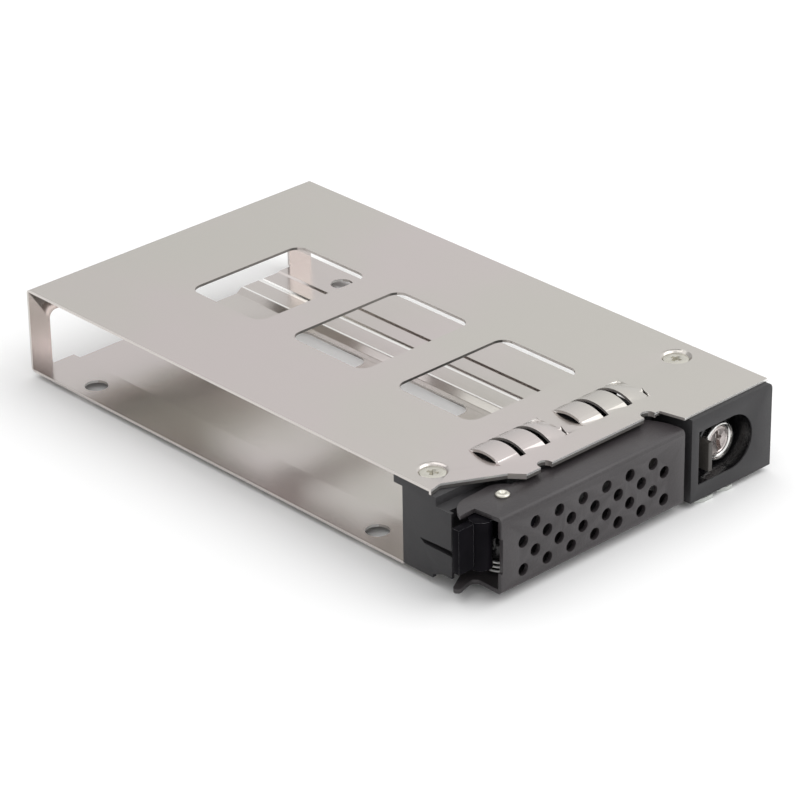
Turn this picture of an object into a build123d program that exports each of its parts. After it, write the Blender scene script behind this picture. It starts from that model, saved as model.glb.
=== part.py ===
"""Drive tray of a hard drive mobile rack, for one 2.5 inch drive. Millimetres.

Origin: centre of the four drive holes, on the face that the drive rests on.
+X is to the right seen from the front, +Y runs to the back and +Z is up.
"""

import os
from math import atan2, degrees, hypot, sqrt

from build123d import *

# Drive and folded sheet
drive_pitch_x = 61.72
drive_pitch_y = 76.6
drive_hole_d = 4.4
tray_width = 70.0
tray_length = 121.6
front_to_drive_holes = 30.9
bay_height = 16.0
sheet = 0.5
bend_radius = 0.9
floor_drop = 1.13
floor_gap = 0.5
strip_left = 9.3
joggle_run = 0.6
floor_front = 12.4
strip_front = 13.6
channel_front = 2.0
rear_leg_left = 4.6
rear_leg_right = 5.7
rear_opening_h = 10.5
rear_corner_r = 1.5

# Windows in the top and bottom plates
window_width = 27.1
window_length = 19.4
window_front = 25.6
window_pitch = 27.6
window_count = 3
window_corner_r = 2.5

# Light pipes and their channel in the floor
channel_inset = 1.5
channel_side = 0.6
pipe_wide = 3.9
pipe_space = 1.9
pipe_narrow = 3.1
pipe_height = 0.8
pipe_set_back = 0.15
pipe_lift = 0.03
pipe_corner_x = 1.7
pipe_corner_y = 0.9
crease_depth = 0.25
crease_half = 0.45
channel_wall_run = 1.3
fold_r = 0.22

# Front outline of the top plate
side_step = 13.1
step_width = 2.6
step_rise = 0.6
slant_to_louvre = 1.1
slant_end_y = 8.25
ledge_run = 2.1
ledge_y = 5.85
relief_left = 4.7
relief_right = 2.45
relief_r = 1.35
relief_in = 0.35
shoulder_inset = 2.1
shoulder_run = 1.1
bezel_edge_y = 0.87
lip_depth = 1.0

# Louvres in the top plate
louvre_off_centre = 2.425
louvre_row_gap = 3.65
louvre_front = 10.95
louvre_chord = 8.0
louvre_rise = 1.1
louvre_band = 4.65
louvre_slot = 1.3
louvre_bands = 3
louvre_fade = 3.4
louvre_dash = 2.1
louvre_dash_width = 0.4
louvre_slit_length = 3.0
louvre_slit_width = 0.8

# Countersunk screws, dimples and inserts
screw_inset = 5.1
screw_y = 18.0
screw_thread_r = 1.5
screw_head_r = 2.35
screw_head_sink = 0.42
screw_length = 5.0
dimple_r = 2.9
dimple_hole_r = 1.75
insert_r = 1.9
insert_length = 4.6
cross_arm = 2.5
cross_width = 0.7
cross_depth = 1.2
thread_clearance = 0.05

# Front block
block_rear = 20.1
block_front = 9.4
cheek_front = 8.3
cheek_skin = 0.6
groove_tip_y = 15.9
groove_tip_z = 6.4
groove_tip_run = 1.0
groove_low = 5.6
groove_high = 6.8
groove_depth = 1.2
cheek_raise = 1.4
cheek_slope_start = 10.4
cheek_slope_end = 12.9
cheek_slope_low = 0.42
skirt_drop = 0.2
skirt_width = 0.85
shelf_back = 12.0
cavity_back = 1.2
cavity_open_high = 6.0
block_wall = 1.6
corner_wall = 1.6
vent_count = 5
vent_width = 4.6
vent_edge = 0.6
tongue_length = 2.1
tongue_height = 1.4
tongue_width = 1.5
seat_gap = 0.05

# Bezel, at the right of the front block
bezel_inset = 20.3
bezel_overhang = 0.4
bezel_flange = 3.0
bezel_drop = 0.45
bezel_corner_r = 1.2
recess_side = 1.85
recess_width = 13.85
recess_bottom = 2.5
recess_below = 3.0
recess_deep = 5.5
recess_floor = 0.7
bezel_solid = 10.5
bezel_wall = 1.5
boss_r = 3.4
boss_roof = 0.8

# Handle
handle_left = 3.5
handle_to_bezel = 1.8
handle_bottom = 0.2
handle_below = 1.2
handle_sheet = 0.8
handle_bend_r = 0.9
flange_play = 0.2
flange_depth = 7.5
flange_end_round = 2.1
pivot_x = 9.38
pivot_y = 5.72
hole_d = 2.3
hole_first_x = 8.6
hole_pitch_x = 2.85
hole_first_up = 2.97
hole_pitch_z = 2.68
hole_margin = 5.0
edge_notch = 0.35
edge_notch_low = 4.2
edge_notch_high = 10.8
flange_end_bow = 0.35
lobe_run = 3.6

# Outline of the flanges' left end, as steps from the pivot
lobe_corner = (2.55, 3.05)
lobe_back = (0, 3.88)
lobe_shoulder = (-5.38, 3.58)
lobe_left = (-8.48, 2.18)
lobe_tip = (-9.88, -0.12)
lobe_front = (-6.48, 0.03)
hook_side = (-6.78, 3.13)
hook_tip_back = (-10.43, 1.10)
hook_tip_end = (-10.83, 0.38)
hook_tip_front = (-9.98, -0.31)
hook_throat = (-7.82, 0.33)
hook_root = (-6.78, 0.50)
hook_corner = (-6.10, 0.0)
hook_edge = (-5.83, -1.2)

# Catch on the handle and release slider
catch_wall_low = 4.0
catch_below = 3.0
catch_wall = 0.8
catch_back = 5.7
catch_reach = 2.0
catch_margin = 0.5
slider_low = 5.5
slider_high = 9.5
slider_thick = 1.4
hook_inset = 4.9
hook_neck = 1.2
hook_front = 3.5
hook_point = 1.1
hook_short = 0.2
slider_clear = 0.15
slider_travel = 1.8
tab_inset = 4.25
tab_thick = 1.0
tab_front = 0.6
tab_low = 3.65
tab_high = 9.35
lug_below = 0.8
lug_thick = 1.0
slider_spring_length = 3.5
slider_spring_r = 0.85
slider_wire = 0.25
slider_turns = 5
cover_thick = 1.0

# Claw, pivot pin and handle spring
claw_x = 2.55
claw_y = 3.98
claw_barrel_r = 2.05
claw_barrel_low = 4.8
claw_gap = 0.1
fin_reach = 5.4
fin_thick = 1.5
fin_shift = 0.35
fin_low = 5.2
fin_below = 0.35
claw_hub_r = 2.6
claw_hub_length = 5.35
claw_web = 1.6
pin_r = 1.0
pin_head_r = 1.3
pin_head_height = 0.55
running_gap = 0.05
pivot_lug = 4.2
lug_r = 2.5
spring_post_r = 2.2
clip_r = 2.3
clip_thick = 0.5
clip_groove = 0.25
clip_play = 0.02
pin_end = 0.3
spring_r = 3.0
spring_wire = 0.5
spring_turns = 3
spring_pitch = 0.85
spring_leg_gap = 0.3

# Key lock
lock_inset = 5.1
lock_z = 6.8
lock_face = 3.0
lock_head_r = 3.7
lock_head_thick = 1.2
lock_body_r = 3.3
lock_length = 9.4
collar_r = 4.1
plug_r = 2.75
plug_set_back = 0.3
keyway_width = 0.8
keyway_height = 3.6
keyway_depth = 5.0
nut_r = 5.2
nut_thick = 1.5
cam_length = 6.5
cam_half = 1.8
cam_thick = 1.0
cam_gap = 0.3
cam_root_r = 2.4
tail_r = 1.2
cam_screw_r = 1.8
cam_screw_thick = 0.8
cam_screw_slot = 0.5

# Values worked out from the sizes above
front_y = -(drive_pitch_y / 2 + front_to_drive_holes)
back_y = front_y + tray_length
left_x = -tray_width / 2
top_under = bay_height
top_face = bay_height + sheet
strip_under = -sheet
floor_top = -floor_drop
floor_under = floor_top - sheet
pipe_top = floor_under + pipe_lift + pipe_height
channel_top = pipe_top + seat_gap + sheet
bezel_left = tray_width - bezel_inset
bezel_right = tray_width + bezel_overhang
screw_left_x = screw_inset
screw_right_x = tray_width - screw_inset
recess_left = bezel_left + recess_side
recess_right = recess_left + recess_width
recess_top = top_under - recess_below
lock_x = recess_right - lock_inset
tab_right = recess_left + tab_inset
handle_right = bezel_left - handle_to_bezel
slider_hook_left = handle_right - hook_inset
shoulder_x = bezel_left - shoulder_inset
shoulder_end_x = shoulder_x + shoulder_run
channel_left = bezel_left + channel_inset
pipe_left = channel_left + channel_side
pipe_2_left = pipe_left + pipe_wide + pipe_space
channel_right = pipe_2_left + pipe_narrow + seat_gap
flange_top = top_under - handle_below
handle_height = flange_top - handle_bottom
flange_under = flange_top - handle_sheet
dimple_depth = dimple_r - dimple_hole_r
block_top = top_under - seat_gap
block_bottom = seat_gap
shelf_top = flange_under - flange_play
louvre_radius = ((louvre_chord / 2) ** 2 + louvre_rise ** 2) / (2 * louvre_rise)
louvre_row = louvre_bands * louvre_band + (louvre_bands - 1) * louvre_slot
louvre_row_shift = louvre_row + louvre_row_gap
louvre_left = (tray_width - louvre_row - louvre_row_shift) / 2 - louvre_off_centre
louvre_end = louvre_left + louvre_row_shift + louvre_row
slant_end_x = louvre_left - slant_to_louvre
ledge_x = slant_end_x + ledge_run
relief_xs = (ledge_x + relief_left, shoulder_x - relief_right)
shelf_width = louvre_left
insert_reach = dimple_depth + seat_gap + insert_length
boss_height = insert_reach + boss_roof
slider_front = recess_deep + recess_floor + seat_gap * 2
slider_back = slider_front + slider_thick
lug_left = tab_right + seat_gap - lug_thick
lug_high = recess_top - lug_below
catch_wall_high = flange_under - catch_below
claw_barrel_high = flange_under - claw_gap
claw_hub_low = flange_under - seat_gap - claw_hub_length
fin_high = claw_barrel_high - fin_below
lug_low = claw_hub_low - 4 * seat_gap - pivot_lug
spring_low = handle_bottom + handle_sheet + seat_gap + spring_wire / 2
hole_columns = int((handle_right - hole_first_x - hole_margin) / hole_pitch_x) + 1
vent_left = shelf_width + corner_wall + vent_edge
vent_room = bezel_left - bezel_wall - vent_edge - vent_left
vent_pitch = (vent_room - vent_width) / (vent_count - 1)

os.makedirs("parts", exist_ok=True)


def across(distance):
    """X of a place this far from the tray's left edge."""
    return left_x + distance


def inward(distance):
    """Y of a place this far behind the handle's front face."""
    return front_y + distance


def plan(x, y):
    """Point in plan, from distances to the left edge and the front face."""
    return (across(x), inward(y))


def brick(xs, ys, zs, mode=Mode.ADD):
    """Box between two distances from the left, two from the front and two heights."""
    size = [abs(b - a) for a, b in (xs, ys, zs)]
    middle = (across(sum(xs) / 2), inward(sum(ys) / 2), sum(zs) / 2)
    with Locations(middle):
        Box(*size, mode=mode)


def upright(x, y, radius, low, high, mode=Mode.ADD):
    """Upright cylinder between two heights."""
    with Locations((across(x), inward(y), (low + high) / 2)):
        Cylinder(radius, high - low, mode=mode)


def facing(x, z, radius, near, far, mode=Mode.ADD):
    """Cylinder along Y between two distances from the front."""
    with Locations(Location((across(x), inward((near + far) / 2), z), (90, 0, 0))):
        Cylinder(radius, far - near, mode=mode)


def finish(part, name):
    """Label a finished piece and write its file."""
    part.label = name
    export_step(part, f"parts/{name}.step")


def screw_cone(x, face, direction, radius, mode):
    """Cone of a countersink whose rim lies on a face, going in along the direction."""
    depth = radius - dimple_hole_r
    low, high = sorted((face, face + direction * depth))
    radii = (dimple_hole_r, radius) if direction < 0 else (radius, dimple_hole_r)
    with Locations((across(x), inward(screw_y), (low + high) / 2)):
        Cone(*radii, high - low, mode=mode)


def front_edge(far):
    """Outline of the top plate's front, closed far behind and beside the plate."""
    Polygon(*[plan(x, y) for x, y in (
            (-far, side_step),
            (0, side_step),
            (step_width, side_step + step_rise),
            (slant_end_x, slant_end_y),
            (ledge_x, ledge_y),
            (shoulder_x, ledge_y),
            (shoulder_end_x, bezel_edge_y),
            (tray_width + far, bezel_edge_y),
            (tray_width + far, tray_length + far),
            (-far, tray_length + far),
    )], align=None)
    with Locations(*[plan(x, ledge_y + relief_in) for x in relief_xs]):
        Circle(relief_r, mode=Mode.SUBTRACT)
    with Locations(*[plan(x, ledge_y) for x in relief_xs]):
        Rectangle(2 * relief_r, 2 * relief_in, mode=Mode.SUBTRACT)


def window_centres():
    """Centres of the windows in plan."""
    return [(0, inward(window_front + window_length / 2 + n * window_pitch)) for n in range(window_count)]


def arch(x, crown, radius, base):
    """Circular segment across the tray, from its crown down to a height."""
    middle = inward(louvre_front + louvre_chord / 2)
    half = sqrt(radius ** 2 - (radius - crown + base) ** 2)
    with BuildSketch(Plane.YZ.offset(across(x))) as segment:
        with BuildLine() as edge:
            ThreePointArc((middle - half, base), (middle, crown), (middle + half, base))
            Line((middle + half, base), (middle - half, base))
        make_face(edge.edges())
    return segment.sketch


# Folded sheet: top plate, back wall and bottom plate
with BuildPart() as tray_shell:
    with BuildSketch(Plane.YZ):
        with Locations(((front_y + back_y) / 2, (strip_under + top_face) / 2)):
            c_outer = Rectangle(tray_length, top_face - strip_under)
        fillet(c_outer.vertices().group_by(Axis.X)[-1], bend_radius)
        with Locations(((front_y + back_y) / 2 - sheet, top_under / 2)):
            Rectangle(tray_length, bay_height, mode=Mode.SUBTRACT)
    extrude(amount=tray_width / 2, both=True)

    # Bottom plate: room for the lowered floor, then the floor itself
    brick((strip_left, channel_right + sheet), (-1, tray_length), (floor_under - 1, seat_gap * 8),
          Mode.SUBTRACT)
    floor_line = [
        (strip_left - sheet, 0),
        (strip_left, 0),
        (strip_left + joggle_run, floor_top),
        (channel_left - channel_wall_run, floor_top),
        (channel_left, channel_top),
        (pipe_2_left - pipe_space / 2 - crease_half, channel_top),
        (pipe_2_left - pipe_space / 2, channel_top - crease_depth),
        (pipe_2_left - pipe_space / 2 + crease_half, channel_top),
        (channel_right, channel_top),
        (channel_right + sheet, 0),
        (channel_right + 2 * sheet, 0),
    ]
    with BuildSketch(Plane.XZ.offset(-inward(channel_front))):
        with BuildLine():
            above = [(across(x), z) for x, z in floor_line]
            below = [(across(x), z - sheet) for x, z in reversed(floor_line)]
            FilletPolyline(*above, *below, radius=fold_r, close=True)
        make_face()
    extrude(amount=-(tray_length - channel_front - floor_gap))
    brick((-1, channel_left), (-1, floor_front), (floor_under - 1, 1), Mode.SUBTRACT)
    brick((-1, strip_left), (-1, strip_front), (floor_under - 1, 1), Mode.SUBTRACT)
    brick((-1, tray_width + 1), (-1, channel_front), (floor_under - 1, 1), Mode.SUBTRACT)
    brick((-1, skirt_width + seat_gap), (-1, block_rear), (floor_under - 1, 1), Mode.SUBTRACT)

    # Opening in the back wall for the drive's connector
    with BuildSketch(Plane.XZ.offset(-back_y)):
        opening_middle = across((rear_leg_left + tray_width - rear_leg_right) / 2)
        opening_width = tray_width - rear_leg_left - rear_leg_right
        with Locations((opening_middle, rear_opening_h / 2)):
            Rectangle(opening_width, rear_opening_h)
        with Locations((opening_middle, 0)):
            Rectangle(opening_width, 4 * floor_drop)
    extrude(amount=2 * sheet, both=True, mode=Mode.SUBTRACT)
    rear_corners = tray_shell.edges().filter_by(Axis.Y).filter_by(
        lambda e: abs(e.center().Z - rear_opening_h) < 0.01 and abs(e.length - sheet) < 0.01)
    fillet(rear_corners, rear_corner_r)

    # Front outline of the top plate
    with BuildSketch(Plane.XY.offset(top_under - 1)):
        with Locations(((left_x + tray_width / 2), (front_y + back_y) / 2)):
            Rectangle(3 * tray_width, 3 * tray_length)
        with BuildSketch(mode=Mode.SUBTRACT):
            front_edge(tray_width / 2)
    extrude(amount=sheet + 2, mode=Mode.SUBTRACT)

    # Lip turned down along the front, as far as the bezel
    with BuildSketch(Plane.XY.offset(top_face - lip_depth)):
        front_edge(tray_width / 2)
        offset(amount=-sheet, kind=Kind.INTERSECTION, mode=Mode.SUBTRACT)
        with Locations(plan(shoulder_x / 2, side_step / 2)):
            Rectangle(shoulder_x, side_step + 2 * step_rise + 1, mode=Mode.INTERSECT)
    extrude(amount=lip_depth - sheet / 2)

    # Windows
    with BuildSketch(Plane.XY.offset(floor_under - 1)):
        with Locations(*window_centres()):
            RectangleRounded(window_width, window_length, window_corner_r)
    extrude(amount=top_face - floor_under + 2, mode=Mode.SUBTRACT)

    # Drive holes
    with BuildSketch(Plane.XY.offset(strip_under - 0.5)):
        with GridLocations(drive_pitch_x, drive_pitch_y, 2, 2):
            Circle(drive_hole_d / 2)
    extrude(amount=1, mode=Mode.SUBTRACT)

    # Screw dimples, pressed down in the top plate and up in the bottom plate
    for screw_x in (screw_left_x, screw_right_x):
        for face, direction in ((top_under, -1), (0, 1)):
            screw_cone(screw_x, face, direction, dimple_r, Mode.ADD)
        for face, direction in ((top_face, -1), (strip_under, 1)):
            screw_cone(screw_x, face, direction, dimple_r, Mode.SUBTRACT)
        upright(screw_x, screw_y, dimple_hole_r, top_under - 4, top_face + 1, Mode.SUBTRACT)
        upright(screw_x, screw_y, dimple_hole_r, strip_under - 1, 4, Mode.SUBTRACT)

    # Louvres: arches over an opening, with slots between the bands
    for row_left in (louvre_left, louvre_left + louvre_row_shift):
        row_right = row_left + louvre_row
        chord = (louvre_front, louvre_front + louvre_chord)
        brick((row_left, row_right), chord, (top_under - 1, top_face + 1), Mode.SUBTRACT)
        for radius, crown, mode in ((louvre_radius, top_face + louvre_rise, Mode.ADD),
                                    (louvre_radius - sheet, top_under + louvre_rise, Mode.SUBTRACT)):
            low = top_under if mode is Mode.ADD else top_under - sheet / 2
            flat_crown = crown - louvre_rise + seat_gap
            flat_radius = (flat_crown - low) / 2 + (louvre_chord / 2 + sheet) ** 2 / (2 * (flat_crown - low))
            tall = arch(row_right - louvre_fade, crown, radius, low)
            flat = arch(row_right, flat_crown, flat_radius, low)
            extrude(arch(row_left, crown, radius, low), amount=louvre_row - louvre_fade, mode=mode)
            loft([tall.face(), flat.face()], ruled=True, mode=mode)
        for n in range(1, louvre_bands):
            slot_left = row_left + n * louvre_band + (n - 1) * louvre_slot
            brick((slot_left, slot_left + louvre_slot), chord,
                  (top_under - 1, top_face + 2 * louvre_rise), Mode.SUBTRACT)
        for n in range(louvre_bands):
            dash_left = row_left + n * (louvre_band + louvre_slot) + (louvre_band - louvre_dash) / 2
            dash_back = louvre_front + louvre_chord
            brick((dash_left, dash_left + louvre_dash), (dash_back - louvre_dash_width, dash_back),
                  (top_under - 1, top_face + 1), Mode.SUBTRACT)
        with BuildSketch(Plane.XY.offset(top_under - 1)):
            Polygon(plan(row_right - louvre_slit_width / 2, louvre_front),
                    plan(row_right + louvre_slit_width, louvre_front + louvre_slit_length),
                    plan(row_right - louvre_slit_width / 2, louvre_front + louvre_slit_length / 2), align=None)
        extrude(amount=sheet + 2, mode=Mode.SUBTRACT)
finish(tray_shell.part, "tray_shell")

# Front block with the bezel: one moulding
with BuildPart() as front_block:
    brick((0, bezel_left), (block_front, block_rear), (block_bottom, shelf_top))
    brick((0, cheek_skin), (cheek_front, block_front), (cheek_raise, shelf_top))
    brick((0, tray_width), (shelf_back, block_rear), (shelf_top, block_top))
    brick((shelf_width, bezel_left), (block_front, shelf_back), (shelf_top, block_top))
    brick((0, skirt_width), (shelf_back, block_rear), (-skirt_drop, block_bottom))
    brick((0, tongue_width), (block_rear, block_rear + tongue_length), (block_top - tongue_height, block_top))

    # Step under the sheet's lip
    with BuildSketch(Plane.XY.offset(top_face - lip_depth - seat_gap)):
        with Locations(plan(shoulder_x / 2, side_step / 2)):
            Rectangle(shoulder_x + 2, 2 * side_step)
        with BuildSketch(mode=Mode.SUBTRACT):
            front_edge(tray_width / 2)
            offset(amount=-sheet - seat_gap, kind=Kind.INTERSECTION)
    extrude(amount=lip_depth, mode=Mode.SUBTRACT)

    # Raised underside in front of the hook's sweep
    with BuildSketch(Plane.YZ.offset(across(-1))):
        with BuildLine():
            Polyline((inward(cheek_front - 1), -1), (inward(cheek_front - 1), cheek_raise),
                     (inward(cheek_slope_start), cheek_raise), (inward(cheek_slope_end), cheek_slope_low),
                     (inward(cheek_slope_end), -1), close=True)
        make_face()
    extrude(amount=shelf_width + 1, mode=Mode.SUBTRACT)

    # Bezel body, its front flange and its skirt
    brick((bezel_left, tray_width), (bezel_flange, block_rear), (block_bottom, block_top))
    with BuildSketch(Plane.XZ.offset(-front_y)):
        with Locations((across((bezel_left + bezel_right) / 2), (block_top - bezel_drop) / 2)):
            flange = Rectangle(bezel_right - bezel_left, block_top + bezel_drop)
        fillet(flange.vertices().group_by(Axis.X)[-1].sort_by(Axis.Y)[-1], bezel_corner_r)
    extrude(amount=-bezel_flange)
    brick((bezel_left, bezel_right + 1), (channel_front - seat_gap, bezel_flange + 1),
          (-bezel_drop - 1, block_bottom), Mode.SUBTRACT)

    # D-shaped recess
    recess_middle = (recess_bottom + recess_top) / 2
    recess_radius = (recess_top - recess_bottom) / 2
    with BuildSketch(Plane.XZ.offset(-front_y)):
        with Locations((across((recess_left + recess_right - recess_radius) / 2), recess_middle)):
            Rectangle(recess_right - recess_radius - recess_left, 2 * recess_radius)
        with Locations((across(recess_right - recess_radius), recess_middle)):
            Circle(recess_radius)
    extrude(amount=-recess_deep, mode=Mode.SUBTRACT)

    # Hollow behind the louvres, open to the drive bay
    hollow = (shelf_width + corner_wall, bezel_left - bezel_wall)
    hollow_front = block_front + block_wall
    hollow_top = shelf_top - seat_gap * 10
    brick(hollow, (hollow_front, block_rear - cavity_back), (block_wall, hollow_top), Mode.SUBTRACT)
    brick(hollow, (hollow_front, block_rear + 1), (block_wall, cavity_open_high), Mode.SUBTRACT)
    brick((louvre_left - vent_edge, louvre_end + vent_edge),
          (hollow_front, louvre_front + louvre_chord + 8 * seat_gap),
          (hollow_top - seat_gap, block_top + 1), Mode.SUBTRACT)
    for n in range(vent_count):
        vent = vent_left + n * vent_pitch
        brick((vent, vent + vent_width), (block_front - 1, block_front + block_wall + 1),
              (block_wall + 1, shelf_top - 2 * block_wall), Mode.SUBTRACT)

    # Hollow behind the bezel, then bosses for the right-hand screws
    brick((bezel_left + bezel_wall, tray_width - bezel_wall), (bezel_solid, block_rear + 1),
          (block_wall, block_top - block_wall), Mode.SUBTRACT)
    upright(screw_right_x, screw_y, boss_r, block_bottom, boss_height)
    upright(screw_right_x, screw_y, boss_r, top_under - boss_height, block_top)

    # Chamber of the release slider, with the way in from behind
    brick((bezel_left - 1, tab_right + slider_clear), (slider_front - seat_gap, slider_back + seat_gap),
          (slider_low - seat_gap, slider_high + seat_gap), Mode.SUBTRACT)
    brick((lug_left - slider_spring_length, tab_right + slider_clear),
          (slider_front - seat_gap, slider_back + seat_gap), (slider_high, lug_high + seat_gap), Mode.SUBTRACT)
    brick((tab_right - tab_thick - slider_travel - slider_clear, tab_right + slider_clear),
          (recess_deep - 1, slider_front), (tab_low - slider_clear, tab_high + slider_clear), Mode.SUBTRACT)
    brick((bezel_left + bezel_wall, tab_right + 2 * slider_clear), (slider_back + seat_gap, bezel_solid + 1),
          (tab_low - 1, lug_high + 1), Mode.SUBTRACT)

    # Hole for the lock
    facing(lock_x, lock_z, lock_body_r + seat_gap, recess_deep - 1, bezel_solid + 1, Mode.SUBTRACT)

    # Lug that holds the pivot pin, between the claw's hub and the spring
    with BuildSketch(Plane.XY.offset(lug_low)):
        with Locations(plan(pivot_x, pivot_y)):
            Circle(lug_r)
        with Locations(plan(pivot_x, (pivot_y + block_front + block_wall) / 2)):
            Rectangle(2 * lug_r, block_front + block_wall - pivot_y)
    extrude(amount=claw_hub_low - seat_gap * 4 - lug_low)
    upright(pivot_x, pivot_y, spring_post_r, handle_bottom + handle_sheet + 4 * seat_gap, lug_low)
    upright(pivot_x, pivot_y, pin_r, handle_bottom, claw_hub_low + 1, Mode.SUBTRACT)

    # Pointed groove in the left face
    with BuildSketch(Plane.YZ.offset(across(-1))):
        Polygon((inward(groove_tip_y), groove_tip_z), (inward(cheek_front - 1), groove_high),
                (inward(cheek_front - 1), groove_low), (inward(groove_tip_y - groove_tip_run), groove_low),
                align=None)
    extrude(amount=1 + groove_depth, mode=Mode.SUBTRACT)

    # Countersinks for the dimples and holes for the inserts
    for screw_x in (screw_left_x, screw_right_x):
        for face, direction in ((block_top, -1), (block_bottom, 1)):
            screw_cone(screw_x, face, direction, dimple_r + 2 * seat_gap, Mode.SUBTRACT)
        upright(screw_x, screw_y, insert_r, top_under - insert_reach - 6 * seat_gap, block_top, Mode.SUBTRACT)
        upright(screw_x, screw_y, insert_r, block_bottom, insert_reach + 6 * seat_gap, Mode.SUBTRACT)
finish(front_block.part, "front_block")


def from_pivot(step):
    """Point in plan, as a step from the pivot."""
    return plan(pivot_x + step[0], pivot_y + step[1])


def flange_plan(hooked):
    """Plan of a handle flange, with the ejector hook on the lower one."""
    with BuildLine() as edge:
        Line(plan(handle_left, 0), plan(handle_right, 0))
        ThreePointArc(plan(handle_right, 0), plan(handle_right - flange_end_bow, flange_depth / 2),
                      plan(handle_right - flange_end_round, flange_depth))
        Line(plan(handle_right - flange_end_round, flange_depth), plan(pivot_x + lobe_run, flange_depth))
        ThreePointArc(plan(pivot_x + lobe_run, flange_depth), from_pivot(lobe_corner), from_pivot(lobe_back))
        if hooked:
            Polyline(*[from_pivot(step) for step in (lobe_back, lobe_shoulder, hook_side, hook_tip_back)])
            ThreePointArc(*[from_pivot(step) for step in (hook_tip_back, hook_tip_end, hook_tip_front)])
            Polyline(*[from_pivot(step) for step in (hook_tip_front, hook_throat, hook_root)])
            ThreePointArc(*[from_pivot(step) for step in (hook_root, hook_corner, hook_edge)])
            Line(from_pivot(hook_edge), plan(handle_left, 0))
        else:
            Line(from_pivot(lobe_back), from_pivot(lobe_shoulder))
            ThreePointArc(*[from_pivot(step) for step in (lobe_shoulder, lobe_left, lobe_tip)])
            Polyline(from_pivot(lobe_tip), from_pivot(lobe_front), plan(handle_left, 0))
    make_face(edge.edges())


# Handle: perforated channel of painted sheet
with BuildPart() as handle_channel:
    with BuildSketch(Plane.YZ.offset(across(-flange_depth))):
        with Locations((inward(flange_depth), (handle_bottom + flange_top) / 2)):
            channel = Rectangle(2 * flange_depth, handle_height)
        fillet(channel.vertices().group_by(Axis.X)[0], handle_bend_r)
        with Locations((inward(flange_depth + handle_sheet), (handle_bottom + flange_top) / 2)):
            Rectangle(2 * flange_depth, handle_height - 2 * handle_sheet, mode=Mode.SUBTRACT)
    extrude(amount=tray_width)
    for base, hooked in ((flange_under, False), (handle_bottom, True)):
        with BuildSketch(Plane.XY.offset(base)):
            with Locations(plan(tray_width / 2, flange_depth)):
                Rectangle(2 * tray_width, 4 * flange_depth)
            with BuildSketch(mode=Mode.SUBTRACT):
                flange_plan(hooked)
        extrude(amount=handle_sheet, mode=Mode.SUBTRACT)
    for ends in ((-tray_width, handle_left), (handle_right, 2 * tray_width)):
        brick(ends, (-1, 2 * flange_depth), (handle_bottom + handle_sheet, flange_under), Mode.SUBTRACT)
    brick((handle_left - 1, handle_left + edge_notch), (-1, handle_sheet + 1),
          (edge_notch_low, edge_notch_high), Mode.SUBTRACT)

    # Perforation: columns in turn low and high
    with BuildSketch(Plane.XZ.offset(-front_y)):
        for column in range(hole_columns):
            for row in (0, 2):
                height = handle_bottom + hole_first_up + (row + column % 2) * hole_pitch_z
                with Locations((across(hole_first_x + column * hole_pitch_x), height)):
                    Circle(hole_d / 2)
    extrude(amount=-(handle_sheet + 1), mode=Mode.SUBTRACT)

    # Folded catch at the right end
    brick((handle_right - catch_wall, handle_right), (handle_sheet / 2, catch_back),
          (catch_wall_low, catch_wall_high))
    brick((handle_right - catch_wall - catch_reach, handle_right - catch_wall),
          (catch_back - handle_sheet, catch_back), (slider_low - catch_margin, slider_high + catch_margin))

    upright(pivot_x, pivot_y, pin_r + running_gap, handle_bottom - 1, flange_top + 1, Mode.SUBTRACT)
finish(handle_channel.part, "handle_channel")

# Claw inside the left end of the handle
with BuildPart() as claw:
    upright(pivot_x, pivot_y, claw_hub_r, claw_hub_low, flange_under - seat_gap)
    upright(claw_x, claw_y, claw_barrel_r, claw_barrel_low, claw_barrel_high)
    fin_y = claw_y + fin_shift
    brick((claw_x - fin_reach, claw_x), (fin_y - fin_thick / 2, fin_y + fin_thick / 2), (fin_low, fin_high))
    span = (pivot_x - claw_x, pivot_y - claw_y)
    web_middle = ((pivot_x + claw_x) / 2, (pivot_y + claw_y) / 2)
    with BuildSketch(Plane.XY.offset(claw_hub_low)):
        with Locations(plan(*web_middle)):
            Rectangle(hypot(*span), claw_web, rotation=degrees(atan2(span[1], span[0])))
        with Locations(plan(pivot_x, (handle_sheet + pivot_y) / 2)):
            Rectangle(2 * claw_hub_r, pivot_y - handle_sheet)
    extrude(amount=claw_barrel_high - claw_hub_low)
    upright(pivot_x, pivot_y, pin_r + running_gap, claw_hub_low - 1, flange_under + 1, Mode.SUBTRACT)
finish(claw.part, "claw")

# Pivot pin with a domed head, and its clip
with BuildPart() as pivot_pin:
    clip_top = handle_bottom - seat_gap
    upright(pivot_x, pivot_y, pin_r, clip_top - clip_thick - pin_end, flange_top + seat_gap)
    upright(pivot_x, pivot_y, pin_head_r, flange_top + seat_gap, flange_top + pin_head_height)
    fillet(pivot_pin.edges().group_by(Axis.Z)[-1], pin_head_height * 0.6)
    with BuildSketch(Plane.XY.offset(clip_top - clip_thick)):
        with Locations(plan(pivot_x, pivot_y)):
            Circle(pin_r)
            Circle(pin_r - clip_groove, mode=Mode.SUBTRACT)
    extrude(amount=clip_thick, mode=Mode.SUBTRACT)
finish(pivot_pin.part, "pivot_pin")

with BuildPart() as pivot_clip:
    with BuildSketch(Plane.XY.offset(clip_top - clip_thick + clip_play)):
        with Locations(plan(pivot_x, pivot_y)):
            Circle(clip_r)
            Circle(pin_r - clip_groove, mode=Mode.SUBTRACT)
        with Locations(plan(pivot_x, pivot_y - clip_r)):
            Rectangle(2 * (pin_r - clip_groove), 2 * clip_r, mode=Mode.SUBTRACT)
    extrude(amount=clip_thick - 2 * clip_play)
finish(pivot_clip.part, "pivot_clip")

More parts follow.
